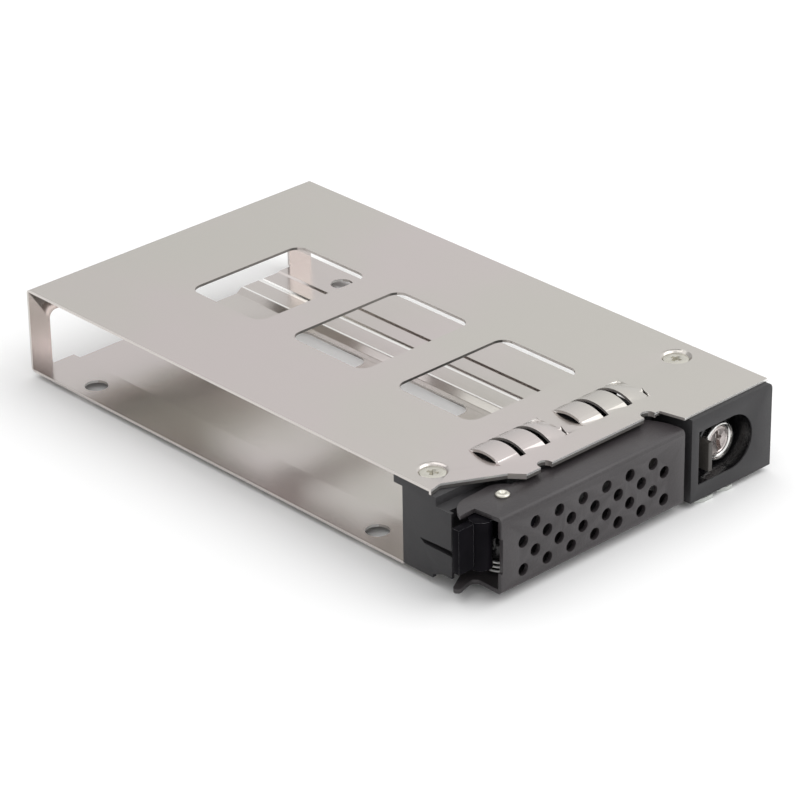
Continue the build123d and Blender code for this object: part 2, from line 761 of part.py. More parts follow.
# Torsion spring round the pivot pin, with one leg on the handle and one on the block
with BuildPart() as handle_spring:
    coil_centre = (across(pivot_x), inward(pivot_y), spring_low)
    with BuildLine() as coil_path:
        Helix(spring_pitch, spring_pitch * spring_turns, spring_r, center=coil_centre)
    with BuildSketch(Plane(origin=coil_path.line @ 0, z_dir=coil_path.line % 0)):
        Circle(spring_wire / 2)
    sweep(path=coil_path.line)
    leg_front = pivot_y - handle_sheet - spring_leg_gap
    leg_back = block_front - pivot_y - spring_leg_gap
    for end, direction, leg in ((coil_path.line @ 0, -1, leg_front), (coil_path.line @ 1, 1, leg_back)):
        with Locations(Location((end.X, end.Y + direction * leg / 2, end.Z), (90, 0, 0))):
            Cylinder(spring_wire / 2, leg)
finish(handle_spring.part, "handle_spring")

# Release slider: arm with a hook, finger tab and spring lug
with BuildPart() as release_slider:
    hook_tip = handle_right - catch_wall - catch_reach - hook_short
    brick((slider_hook_left, tab_right), (slider_front, slider_back), (slider_low, slider_high))
    brick((slider_hook_left, slider_hook_left + hook_neck), (hook_front, slider_front), (slider_low, slider_high))
    brick((slider_hook_left, hook_tip), (hook_front, hook_front + hook_point), (slider_low, slider_high))
    brick((tab_right - tab_thick, tab_right), (tab_front, slider_front), (tab_low, tab_high))
    brick((lug_left, tab_right), (slider_front, slider_back), (slider_high, lug_high))
finish(release_slider.part, "release_slider")

with BuildPart() as slider_spring:
    spring_z = (slider_high + lug_high) / 2
    spring_start = (across(lug_left - slider_spring_length + slider_wire / 2),
                    inward((slider_front + slider_back) / 2), spring_z)
    coil_length = slider_spring_length - slider_wire
    with BuildLine() as slider_path:
        Helix(coil_length / slider_turns, coil_length, slider_spring_r - slider_wire,
              center=spring_start, direction=(1, 0, 0))
    with BuildSketch(Plane(origin=slider_path.line @ 0, z_dir=slider_path.line % 0)):
        Circle(slider_wire / 2)
    sweep(path=slider_path.line)
finish(slider_spring.part, "slider_spring")

with BuildPart() as slider_cover:
    brick((bezel_left + bezel_wall + seat_gap, tab_right + 2 * slider_clear - seat_gap),
          (slider_back + 2 * seat_gap, slider_back + 2 * seat_gap + cover_thick),
          (tab_low - 1 + seat_gap, lug_high + 1 - seat_gap))
finish(slider_cover.part, "slider_cover")

# Key lock: barrel, collar, nut, plug, cam and screw
lock_back = lock_face + lock_length
with BuildPart() as lock_barrel:
    facing(lock_x, lock_z, lock_head_r, lock_face, lock_face + lock_head_thick)
    facing(lock_x, lock_z, lock_body_r, lock_face, lock_back)
    facing(lock_x, lock_z, plug_r + running_gap, lock_face - 1, lock_back + 1, Mode.SUBTRACT)
finish(lock_barrel.part, "lock_barrel")

with BuildPart() as lock_collar:
    facing(lock_x, lock_z, collar_r, lock_face + lock_head_thick + seat_gap, recess_deep - seat_gap)
    facing(lock_x, lock_z, lock_body_r + seat_gap, lock_face, recess_deep + 1, Mode.SUBTRACT)
finish(lock_collar.part, "lock_collar")

with BuildPart() as lock_nut:
    nut_front = bezel_solid + seat_gap
    with BuildSketch(Plane.XZ.offset(-inward(nut_front))):
        with Locations((across(lock_x), lock_z)):
            RegularPolygon(nut_r, 6)
            Circle(lock_body_r + seat_gap, mode=Mode.SUBTRACT)
    extrude(amount=-nut_thick)
finish(lock_nut.part, "lock_nut")

cam_front = lock_back + cam_gap
with BuildPart() as lock_plug:
    facing(lock_x, lock_z, plug_r, lock_face + plug_set_back, lock_back + cam_gap / 2)
    facing(lock_x, lock_z, tail_r, lock_back, cam_front + cam_thick)
    brick((lock_x - keyway_width / 2, lock_x + keyway_width / 2), (lock_face - 1, lock_face + keyway_depth),
          (lock_z - keyway_height / 2, lock_z + keyway_height / 2), Mode.SUBTRACT)
finish(lock_plug.part, "lock_plug")

with BuildPart() as lock_cam:
    with BuildSketch(Plane.XZ.offset(-inward(cam_front))):
        with Locations((across(lock_x), lock_z)):
            Circle(cam_root_r)
        with Locations((across(lock_x), lock_z + (cam_length - cam_half) / 2)):
            Rectangle(2 * cam_half, cam_length - cam_half)
        with Locations((across(lock_x), lock_z + cam_length - cam_half)):
            Circle(cam_half)
        with Locations((across(lock_x), lock_z)):
            Circle(tail_r, mode=Mode.SUBTRACT)
    extrude(amount=-cam_thick)
finish(lock_cam.part, "lock_cam")

with BuildPart() as cam_screw:
    screw_front = cam_front + cam_thick
    facing(lock_x, lock_z, cam_screw_r, screw_front, screw_front + cam_screw_thick)
    brick((lock_x - cam_screw_r, lock_x + cam_screw_r),
          (screw_front + cam_screw_thick / 2, screw_front + cam_screw_thick + 1),
          (lock_z - cam_screw_slot / 2, lock_z + cam_screw_slot / 2), Mode.SUBTRACT)
finish(cam_screw.part, "cam_screw")

# Light pipes under the floor, from the back to the bezel
for name, start, width in (("light_pipe_left", pipe_left, pipe_wide),
                           ("light_pipe_right", pipe_2_left, pipe_narrow)):
    with BuildPart() as light_pipe:
        with BuildSketch(Plane.XY.offset(pipe_top - pipe_height)):
            Polygon(plan(start, pipe_set_back + pipe_corner_y), plan(start + pipe_corner_x, pipe_set_back),
                    plan(start + width, pipe_set_back), plan(start + width, tray_length - floor_gap),
                    plan(start, tray_length - floor_gap), align=None)
        extrude(amount=pipe_height)
    finish(light_pipe.part, name)

# Countersunk screws and their threaded inserts
for side, screw_x in (("left", screw_left_x), ("right", screw_right_x)):
    for level, face, direction in (("top", top_face, -1), ("bottom", strip_under, 1)):
        head_face = face + direction * screw_head_sink
        cone_end = head_face + direction * (screw_head_r - screw_thread_r)
        tip = face + direction * (dimple_depth + screw_length)
        frame = Plane(origin=(across(screw_x), inward(screw_y), 0), x_dir=(1, 0, 0), z_dir=(0, -1, 0))
        axis = Axis((across(screw_x), inward(screw_y), 0), (0, 0, 1))
        with BuildPart() as screw:
            shank_r = screw_thread_r - thread_clearance
            with BuildSketch(frame):
                with BuildLine():
                    Polyline((0, head_face), (screw_head_r, head_face), (shank_r, cone_end), (shank_r, tip),
                             (0, tip), close=True)
                make_face()
            revolve(axis=axis)
            floor_of_recess = head_face + direction * cross_depth
            for arms in ((cross_arm, cross_width), (cross_width, cross_arm)):
                with Locations((across(screw_x), inward(screw_y), (head_face + floor_of_recess) / 2)):
                    Box(arms[0], arms[1], cross_depth, mode=Mode.SUBTRACT)
        finish(screw.part, f"{level}_screw_{side}")
        with BuildPart() as insert:
            insert_start = face + direction * (sheet + dimple_depth + seat_gap)
            insert_end = insert_start + direction * insert_length
            low, high = sorted((insert_start, insert_end))
            upright(screw_x, screw_y, insert_r, low, high)
            upright(screw_x, screw_y, screw_thread_r, low - 1, high + 1, Mode.SUBTRACT)
        finish(insert.part, f"insert_{level}_{side}")
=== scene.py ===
"""Drive tray of a mobile rack: finishes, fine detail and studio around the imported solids."""

import math

import bmesh
import bpy
from bpy.props import FloatProperty, FloatVectorProperty, IntProperty, PointerProperty
from mathutils import Matrix, Vector

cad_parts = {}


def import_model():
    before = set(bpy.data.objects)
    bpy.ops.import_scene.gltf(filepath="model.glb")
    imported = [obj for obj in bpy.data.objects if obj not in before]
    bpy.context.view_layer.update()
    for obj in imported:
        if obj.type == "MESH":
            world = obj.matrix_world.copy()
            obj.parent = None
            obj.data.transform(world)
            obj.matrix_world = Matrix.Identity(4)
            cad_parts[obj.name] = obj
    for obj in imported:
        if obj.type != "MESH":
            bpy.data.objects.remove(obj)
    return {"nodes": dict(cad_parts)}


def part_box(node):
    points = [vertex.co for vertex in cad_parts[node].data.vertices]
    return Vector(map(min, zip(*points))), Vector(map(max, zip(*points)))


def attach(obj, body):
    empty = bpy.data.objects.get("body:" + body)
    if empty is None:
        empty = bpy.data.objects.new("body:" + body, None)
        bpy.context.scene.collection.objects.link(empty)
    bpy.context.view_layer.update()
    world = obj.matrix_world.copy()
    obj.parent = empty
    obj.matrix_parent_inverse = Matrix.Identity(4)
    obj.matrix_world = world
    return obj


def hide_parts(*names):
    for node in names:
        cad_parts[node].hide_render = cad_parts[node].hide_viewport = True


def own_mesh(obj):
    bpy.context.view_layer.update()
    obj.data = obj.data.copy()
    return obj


bl_info = {
    "name": "Drive tray finish",
    "version": (1, 0, 0),
    "blender": (4, 5, 0),
    "location": "3D View > Sidebar > Tray",
    "description": "Finishes, fine detail and studio for a removable drive tray",
    "category": "Object",
}

# Frame

MM = 0.001
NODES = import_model()["nodes"]
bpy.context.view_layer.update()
FLOOR_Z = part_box("tray_shell")[0].z
FRONT_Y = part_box("handle_channel")[0].y
FAR = 1.0

# Mesh limits

WELD = 0.002 * MM
FLAT = math.radians(0.6)
SHARP = math.radians(34)
SHARP_SHEET = math.radians(28)
SHARP_SOFT = math.radians(32)
SHARP_PIN = math.radians(40)
ROUND_SOFT = math.radians(40)
ROUND_CARVED = math.radians(35)

# Places of the painted highlights and painted shade, and of the smoother moulding

WINDOW_HALF = 13.9 * MM
WINDOW_FRONT = FRONT_Y + 25 * MM
WINDOW_BACK = FRONT_Y + 101 * MM
WINDOW_LOW = 5 * MM
BACK_WALL = 1.2 * MM
SHEET_RISE = 0.55 * MM
LIP_LOW = 15 * MM
LIP_BACK = FRONT_Y + 14 * MM
LIP_BRIGHT = 0.42 * MM
RIDGE_FRONT = FRONT_Y + 23 * MM
RIDGE_RISE = 0.3 * MM
RIDGE_TOP = 2 * MM
CHANNEL_RIDGE = 0.45 * MM
CREASE_SHIFT = 1.95 * MM
CREASE_WIDTH = 1.40 * MM
RECESS_LEFT = 4.5 * MM
RECESS_RIGHT = 5.3 * MM
RECESS_BELOW = 4.6 * MM
RECESS_ABOVE = 6.5 * MM
RECESS_NEAR = 0.3 * MM
RECESS_DEEP = 5.7 * MM
LUG_HALF = 4 * MM
LUG_BACK = FRONT_Y + 9.3 * MM

# Turned and cut pieces

PIN_HEAD = 0.36 * MM
PIN_CROWN = 0.16 * MM
PIN_CHAMFER = 0.12 * MM
PIN_SHOULDER = 0.3 * MM
LOCK_RIM = 0.4 * MM
LOCK_HEAD = 1.2 * MM
LOCK_PITCH = 0.5 * MM
LOCK_THREAD = 0.2 * MM
LOCK_PLAIN = 3 * MM
PLUG_PLAY = 0.06 * MM
PLUG_TAIL = 1.2 * MM
PLUG_PAST_CAM = 0.15 * MM
KEYWAY_HALF = 0.42 * MM
KEYWAY_REACH = 0.74
KEYWAY_DEEP = 4.2 * MM
SHUTTER_NEAR = 0.9 * MM
SHUTTER_FAR = 2.2 * MM
SHUTTER_SLOPE = 0.25
COLLAR_PLAY = 0.05 * MM
CARVED_EDGE = 0.03 * MM
SCREW_SHANK = 1.45 * MM
SCREW_PITCH = 0.5 * MM
SCREW_THREAD = 0.22 * MM
SCREW_TIP = 0.25 * MM
INSERT_BORE = 1.5 * MM
INSERT_GROOVE = 0.9
PIPE_EDGE = 0.05 * MM
SCREW_SIDES = 64
INSERT_SIDES = 48


def centre(node):
    """Middle of a solid's box."""
    low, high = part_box(node)
    return (low + high) / 2


def radius(node):
    """Half the width of a solid's box."""
    low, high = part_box(node)
    return (high.x - low.x) / 2


# Settings


def colour(name, description, value):
    """Setting that holds a colour."""
    return FloatVectorProperty(name=name, description=description, subtype="COLOR", default=value,
                               min=0, max=1)


def length(name, description, value, low, high):
    """Setting that holds a length in metres."""
    return FloatProperty(name=name, description=description, subtype="DISTANCE", default=value,
                         min=low, max=high, precision=5)


class TRAY_PG_finish(bpy.types.PropertyGroup):
    """Colours and surface of the tray's materials."""

    sheet: colour("Sheet", "Stainless sheet", (0.622, 0.566, 0.554))
    sheet_cool: colour("Sheet cloud", "Cooler clouds in the sheet", (0.592, 0.572, 0.528))
    sheet_grain: colour("Sheet grain", "Darker marks of rolling", (0.42, 0.40, 0.385))
    sheet_edge_highlight: colour("Cut edge", "Bright sheared edge and rubbed ridges", (0.93, 0.92, 0.90))
    sheet_side_highlight: colour("Side edge", "Sheared edge at the sides", (0.66, 0.62, 0.59))
    sheet_window: colour("Window edge", "Shaded edge of the top windows", (0.20, 0.19, 0.18))
    sheet_lip: colour("Lip edge", "Shaded lower edge of the front lip", (0.24, 0.23, 0.22))
    sheet_rough: FloatProperty(name="Sheet roughness", description="Lowest roughness of the sheet",
                               default=0.19, min=0, max=1, subtype="FACTOR")
    paint: colour("Paint", "Paint of the handle", (0.040, 0.035, 0.037))
    paint_edge: colour("Paint edge", "Paint on rounded edges", (0.115, 0.110, 0.113))
    moulding: colour("Moulding", "Plastic of the front block", (0.025, 0.024, 0.026))
    moulding_edge: colour("Moulding edge", "Plastic on rounded edges", (0.105, 0.103, 0.107))
    slide: colour("Slide", "Plastic of the release slide", (0.075, 0.068, 0.062))
    grain: length("Texture grain", "Size of the grain in paint and plastic", 0.00035, 0.0001, 0.002)
    nickel: colour("Nickel", "Plating of screws and pin", (0.66, 0.64, 0.57))
    zinc: colour("Zinc", "Plating of clip, nut and cam", (0.50, 0.51, 0.51))
    chrome: colour("Chrome", "Polished plating of the lock", (0.84, 0.83, 0.81))
    satin: colour("Plug", "Satin metal of the lock's plug", (0.66, 0.60, 0.58))
    brass: colour("Brass", "Threaded inserts", (0.72, 0.53, 0.26))
    clear: colour("Light pipe", "Clear plastic", (0.62, 0.64, 0.61))


class TRAY_PG_sizes(bpy.types.PropertyGroup):
    """Sizes of the fine detail."""

    round_block: length("Block edge", "Rounding of the moulding's edges", 0.00022, 0.00002, 0.001)
    recess_depth: length("Screw recess", "Depth of the cross recess", 0.0012, 0.0004, 0.002)
    recess_arm: length("Recess arm", "Half length of the cross at the face", 0.0013, 0.0005, 0.0025)
    recess_half: length("Recess width", "Half width of an arm at the face", 0.00043, 0.0001, 0.001)
    keyway_turn: FloatProperty(name="Keyway turn", description="Turn of the keyway from upright",
                               default=math.radians(14), subtype="ANGLE")
    sides: IntProperty(name="Sides", description="Sides of a turned piece", default=96, min=16, max=256)


class TRAY_PG_stage(bpy.types.PropertyGroup):
    """Studio light and camera."""

    sky: FloatProperty(name="Sky", description="Strength of the even light", default=1.0, min=0, max=5)
    key: FloatProperty(name="Key", description="Power of the front right lamp, in watts", default=2.7, min=0)
    top: FloatProperty(name="Top", description="Power of the lamp overhead, in watts", default=0.9, min=0)
    camera_place: FloatVectorProperty(name="Camera", description="Place of the camera", subtype="TRANSLATION",
                                      default=(-0.39950, -0.44141, 0.30922), precision=5)
    camera_forward: FloatVectorProperty(name="View", description="Direction of view", subtype="XYZ",
                                        default=(0.60372, 0.65015, -0.46133), precision=5)
    camera_up: FloatVectorProperty(name="Up", description="Top of the picture", subtype="XYZ",
                                   default=(0.32523, 0.32747, 0.88712), precision=5)
    lens: FloatProperty(name="Lens", description="Focal length in millimetres", default=164.16, min=10)


# Shader sums


class Wire:
    """An output socket that takes part in sums."""

    def __init__(self, sheet, socket):
        self.sheet, self.socket = sheet, socket

    def sum(self, operation, *values):
        return self.sheet.node("ShaderNodeMath", {"operation": operation}, dict(enumerate(values)))

    def __add__(self, other):
        return self.sum("ADD", self, other)

    def __sub__(self, other):
        return self.sum("SUBTRACT", self, other)

    def __rsub__(self, other):
        return self.sum("SUBTRACT", other, self)

    def __mul__(self, other):
        return self.sum("MULTIPLY", self, other)

    def __abs__(self):
        return self.sum("ABSOLUTE", self)

    def __gt__(self, other):
        return self.sum("GREATER_THAN", self, other)

    def __lt__(self, other):
        return self.sum("LESS_THAN", self, other)

    __radd__ = __add__
    __rmul__ = __mul__


class Sheet:
    """The node tree of one material or of the world."""

    def __init__(self, owner):
        owner.use_nodes = True
        self.tree = owner.node_tree
        self.tree.nodes.clear()

    def node(self, kind, settings=None, values=None, out=0):
        """Adds one node and returns one of its outputs."""
        made = self.tree.nodes.new(kind)
        for key, value in (settings or {}).items():
            setattr(made, key, value)
        for key, value in (values or {}).items():
            socket = made.inputs[key]
            if isinstance(value, Wire):
                self.tree.links.new(value.socket, socket)
            elif socket.type == "RGBA":
                socket.default_value = (*value, 1)
            else:
                socket.default_value = value
        return Wire(self, made.outputs[out]) if made.outputs else None

    def mix(self, factor, a, b):
        """Blend of two colours."""
        return self.node("ShaderNodeMix", {"data_type": "RGBA"}, {0: factor, 6: a, 7: b}, 2)

    def place(self, stretch=(1, 1, 1)):
        """Object coordinates, stretched along the axes."""
        spot = self.node("ShaderNodeTexCoord", out="Object")
        return self.node("ShaderNodeMapping", {}, {"Vector": spot, "Scale": stretch})

    def axes(self, vector):
        """The three parts of a vector, by the letter of the axis."""
        outputs = self.node("ShaderNodeSeparateXYZ", {}, {"Vector": vector}).socket.node.outputs
        return {key: Wire(self, outputs[key]) for key in "XYZ"}

    def noise(self, scale, detail=3.0, roughness=0.5, stretch=(1, 1, 1)):
        """Value of a noise, with its scale in grains to the metre."""
        return self.node("ShaderNodeTexNoise", {}, {"Vector": self.place(stretch), "Scale": scale,
                                                    "Detail": detail, "Roughness": roughness}, "Fac")

    def smooth(self, value, low, high):
        """Value taken smoothly from 0 at low to 1 at high."""
        return self.node("ShaderNodeMapRange", {"interpolation_type": "SMOOTHSTEP"},
                         {"Value": value, "From Min": low, "From Max": high})

    def inside(self, low, high):
        """1 inside a box of object coordinates and 0 outside."""
        spot = self.axes(self.node("ShaderNodeTexCoord", out="Object"))
        result = 1
        for key, a, b in zip("XYZ", low, high):
            result = (spot[key] > a) * (spot[key] < b) * result
        return result

    def bump(self, height, distance):
        """Normal of a relief whose height spans this distance in metres."""
        return self.node("ShaderNodeBump", {}, {"Height": height, "Distance": distance, "Strength": 1.0})

    def surface(self, **sockets):
        """Principled surface, joined to the output."""
        values = {key.replace("_", " "): value for key, value in sockets.items()}
        shader = self.node("ShaderNodeBsdfPrincipled", {}, values)
        self.node("ShaderNodeOutputMaterial", {}, {"Surface": shader})


def new_material(name):
    """Material of this name, with an empty tree."""
    material = bpy.data.materials.new(name)
    return material, Sheet(material)


def scaled(value, factor):
    """Colour made lighter or darker."""
    return tuple(min(1, part * factor) for part in value)


def stainless(finish):
    """Satin stainless sheet: rolled grain, soft clouds, painted highlights on cut edges and ridges, painted
    shade on the window and lip edges.
    """
    material, s = new_material("stainless")
    cloud = s.smooth(s.noise(scale=34, detail=2), low=0.36, high=0.64)
    broad = s.smooth(s.noise(scale=15, detail=1), low=0.38, high=0.62)
    rolled = s.noise(scale=900, detail=3, roughness=0.6, stretch=(1, 0.05, 1))
    speck = s.noise(scale=4200, detail=2)

    facing = s.axes(s.node("ShaderNodeNewGeometry", out="Normal"))
    spot = s.axes(s.node("ShaderNodeTexCoord", out="Object"))
    # Cut edges of the sheet, away from the back wall: they take the painted edge colours below.
    cut = (abs(facing["Z"]) < 0.45) * (spot["Y"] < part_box("tray_shell")[1].y - BACK_WALL)
    sideways = abs(facing["X"]) > 0.7
    window = s.inside((-WINDOW_HALF, WINDOW_FRONT, WINDOW_LOW), (WINDOW_HALF, WINDOW_BACK, FAR))
    sheet_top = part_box("front_block")[1].z + SHEET_RISE
    lip = s.inside((-FAR, FRONT_Y, LIP_LOW), (FAR, LIP_BACK, sheet_top - LIP_BRIGHT))

    # Thin strips along the floor's ridge and crease by the light pipes get a painted highlight.
    wide_pipe, slim_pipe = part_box("light_pipe_left"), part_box("light_pipe_right")
    ridge_low = wide_pipe[1].z + RIDGE_RISE
    ridges = ((wide_pipe[0].x - CHANNEL_RIDGE, CHANNEL_RIDGE), (slim_pipe[0].x - CREASE_SHIFT, CREASE_WIDTH))
    painted_highlight = sum(s.inside((x, RIDGE_FRONT, ridge_low), (x + width, FAR, RIDGE_TOP)) for x, width in ridges)

    body = s.mix(cloud * 0.45 + broad * 0.50, finish.sheet, finish.sheet_cool)
    body = s.mix(rolled * 0.07 + speck * 0.04, body, finish.sheet_grain)
    # Painted highlight on the ridge and crease strips.
    body = s.mix(painted_highlight, body, finish.sheet_edge_highlight)
    # Painted highlight on the cut edges, with painted shade on the top windows' edges and on the front lip's
    # lower edge, and a dimmer painted highlight on edges facing the sides.
    edge = s.mix(window, finish.sheet_edge_highlight, finish.sheet_window)
    edge = s.mix(lip, edge, finish.sheet_lip)
    edge = s.mix(sideways, edge, finish.sheet_side_highlight)
    s.surface(Base_Color=s.mix(cut, body, edge), Metallic=1 - cut * 0.25,
              Roughness=finish.sheet_rough + cloud * 0.06 + rolled * 0.03 + cut * 0.10,
              Normal=s.bump(rolled + speck * 0.4, distance=0.0003 * MM))
    return material


def grained(name, tint, grain, rough, depth, shaded_and_polished=()):
    """Black plastic or paint with a fine raised grain; inside boxes it is smoother and darkened with painted
    shade.
    """
    material, s = new_material(name)
    lift = s.smooth(s.noise(scale=1 / grain, detail=2, roughness=0.55), low=0.35, high=0.75)
    patch = s.smooth(s.noise(scale=60, detail=2), low=0.3, high=0.7)
    body = s.mix(lift * 0.6 + patch * 0.25, scaled(tint, 0.78), scaled(tint, 1.22))
    roughness = rough + lift * 0.10 - patch * 0.05
    if shaded_and_polished:
        shaded_smooth_part = sum(s.inside(low, high) for low, high in shaded_and_polished)
        # Painted shade inside the boxes, which are also made smoother.
        body = s.mix(shaded_smooth_part, body, scaled(tint, 0.22))
        roughness = roughness - shaded_smooth_part * (rough - 0.12)
    s.surface(Base_Color=body, Roughness=roughness, Normal=s.bump(lift, depth), Specular_IOR_Level=0.5)
    return material


def glossy_black(name, shine, low=(0.003, 0.003, 0.004), high=(0.008, 0.007, 0.009)):
    """Glossy black plastic with faint waves."""
    material, s = new_material(name)
    wave = s.noise(scale=350, detail=2)
    s.surface(Base_Color=s.mix(wave, low, high), Roughness=0.16 + wave * 0.10, Specular_IOR_Level=shine,
              Normal=s.bump(wave, distance=0.008 * MM))
    return material


def metal(name, finish, rough, scratch=0.001 * MM):
    """Bright plated metal with light wear, coloured by its setting and made once."""
    known = bpy.data.materials.get(name)
    if known:
        return known
    material, s = new_material(name)
    tint = getattr(finish, name)
    wear = s.noise(scale=1800, detail=3, roughness=0.6)
    stain = s.smooth(s.noise(scale=500, detail=2), low=0.35, high=0.65)
    s.surface(Base_Color=s.mix(stain * 0.5 + wear * 0.2, tint, scaled(tint, 0.80)), Metallic=1.0,
              Roughness=rough + stain * 0.08 + wear * 0.05, Normal=s.bump(wear, scratch))
    return material


def nickel(finish):
    """Plating of the screws and the pin."""
    return metal("nickel", finish, rough=0.22)


def zinc(finish):
    """Plating of the clip, the nut and the cam."""
    return metal("zinc", finish, rough=0.38)


def clear_plastic(finish):
    """Clear light guide, slightly milky."""
    material, s = new_material("clear_pipe")
    haze = s.smooth(s.noise(scale=120, detail=2), low=0.3, high=0.7)
    s.surface(Base_Color=s.mix(haze, finish.clear, scaled(finish.clear, 0.93)), Roughness=0.14 + haze * 0.08,
              Transmission_Weight=0.15, IOR=1.49, Normal=s.bump(haze, distance=0.010 * MM))
    return material


# Mesh tools


def linked(name, data):
    """New object in the scene."""
    item = bpy.data.objects.new(name, data)
    bpy.context.scene.collection.objects.link(item)
    return item


def add_piece(name, mesh, material, body, slot, *nodes, painted_highlight=None):
    """Links a finished mesh as a piece that stands for solids and rides on a body."""
    piece = linked(name, mesh)
    # The second material paints a highlight on the rounded edges.
    if painted_highlight:
        mesh.materials[0], mesh.materials[1] = material, painted_highlight
    else:
        mesh.materials.clear()
        mesh.materials.append(material)
    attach(piece, body)
    if nodes:
        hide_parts(*nodes)


def dress(node, material):
    """Gives a solid's own mesh its material."""
    mesh = NODES[node].data
    mesh.materials.clear()
    mesh.materials.append(material)


def smooth_by_angle(mesh, limit=SHARP):
    """Smooth faces, with sharp edges where they meet above an angle."""
    mesh.polygons.foreach_set("use_smooth", [True] * len(mesh.polygons))
    mesh.set_sharp_from_angle(angle=limit)


def applied(piece):
    """Mesh of a piece with its modifiers applied; the piece is removed."""
    bpy.context.view_layer.update()
    graph = bpy.context.evaluated_depsgraph_get()
    mesh = bpy.data.meshes.new_from_object(piece.evaluated_get(graph))
    bpy.data.objects.remove(piece)
    return mesh


def joined(node):
    """Bmesh of a solid, with the doubled points of its faces joined."""
    bm = bmesh.new()
    bm.from_mesh(NODES[node].data)
    bmesh.ops.remove_doubles(bm, verts=bm.verts, dist=WELD)
    return bm


def as_mesh(bm, name):
    """Mesh of a bmesh, which is freed."""
    mesh = bpy.data.meshes.new(name)
    bm.to_mesh(mesh)
    bm.free()
    return mesh


def rounded(piece, width, limit):
    """Adds a bevel to the edges above an angle."""
    bevel = piece.modifiers.new("Round", "BEVEL")
    bevel.width = width
    bevel.segments = 2
    bevel.limit_method = "ANGLE"
    bevel.angle_limit = limit
    bevel.use_clamp_overlap = True
    return bevel


def welded(node):
    """Copy of a solid's mesh in smooth faces, with sharp edges kept sharp."""
    mesh = as_mesh(joined(node), node + "_welded")
    smooth_by_angle(mesh, SHARP_SHEET)
    piece = linked(node + "_work", mesh)
    even = piece.modifiers.new("Even", "WEIGHTED_NORMAL")
    even.weight = 100
    even.keep_sharp = True
    return applied(piece)


def softened(node, width):
    """Copy of a solid's mesh with flat faces joined and edges rounded, in a second material."""
    bm = joined(node)
    bmesh.ops.dissolve_limit(bm, angle_limit=FLAT, verts=bm.verts, edges=bm.edges)
    mesh = as_mesh(bm, node + "_soft")
    piece = linked(node + "_work", mesh)
    bevel = rounded(piece, width, ROUND_SOFT)
    bevel.miter_outer = "MITER_SHARP"
    bevel.material = 1
    mesh.materials.append(None)
    mesh.materials.append(None)
    result = applied(piece)
    smooth_by_angle(result, SHARP_SOFT)
    return result


def turned(profile, sides, place=Matrix.Identity(4)):
    """Closed mesh turned about Z from a profile of radius and height."""
    bm = bmesh.new()
    angles = [2 * math.pi * k / sides for k in range(sides)]
    rings = []
    for away, height in profile:
        if away == 0:
            rings.append([bm.verts.new((0, 0, height))])
        else:
            rings.append([bm.verts.new((away * math.cos(a), away * math.sin(a), height)) for a in angles])
    pairs = list(zip(rings, rings[1:]))
    if len(rings[0]) > 1:
        pairs.append((rings[-1], rings[0]))
    for a, b in pairs:
        for k in range(sides):
            n = (k + 1) % sides
            corners = []
            for vertex in (a[k % len(a)], a[n % len(a)], b[n % len(b)], b[k % len(b)]):
                if vertex not in corners:
                    corners.append(vertex)
            if len(corners) > 2:
                bm.faces.new(corners)
    bmesh.ops.recalc_face_normals(bm, faces=bm.faces)
    bm.transform(place)
    return as_mesh(bm, "turned")


def prism(outline, low, high, shrink=1.0):
    """Closed prism of an outline along Z, tapered to its low end."""
    bm = bmesh.new()
    top = [bm.verts.new((x, y, high)) for x, y in outline]
    bottom = [bm.verts.new((x * shrink, y * shrink, low)) for x, y in outline]
    bm.faces.new(top)
    bm.faces.new(list(reversed(bottom)))
    count = len(outline)
    for k in range(count):
        n = (k + 1) % count
        bm.faces.new((top[k], bottom[k], bottom[n], top[n]))
    bmesh.ops.recalc_face_normals(bm, faces=bm.faces)
    return as_mesh(bm, "prism")


def carved(mesh, *cutters):
    """Mesh with other meshes cut away, and its sharp edges rounded."""
    piece = linked("carve", mesh)
    tools = [linked("cutter", cutter) for cutter in cutters]
    for tool in tools:
        cut = piece.modifiers.new("Cut", "BOOLEAN")
        cut.operation = "DIFFERENCE"
        cut.solver = "EXACT"
        cut.object = tool
    rounded(piece, CARVED_EDGE, ROUND_CARVED)
    result = applied(piece)
    for tool in tools:
        bpy.data.objects.remove(tool)
    smooth_by_angle(result)
    return result


def along_y(node):
    """Place of a turned piece whose height runs forward along -Y from a solid's back end."""
    middle = centre(node)
    middle.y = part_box(node)[1].y
    return Matrix.Translation(middle) @ Matrix.Rotation(math.radians(90), 4, "X")


# Node groups


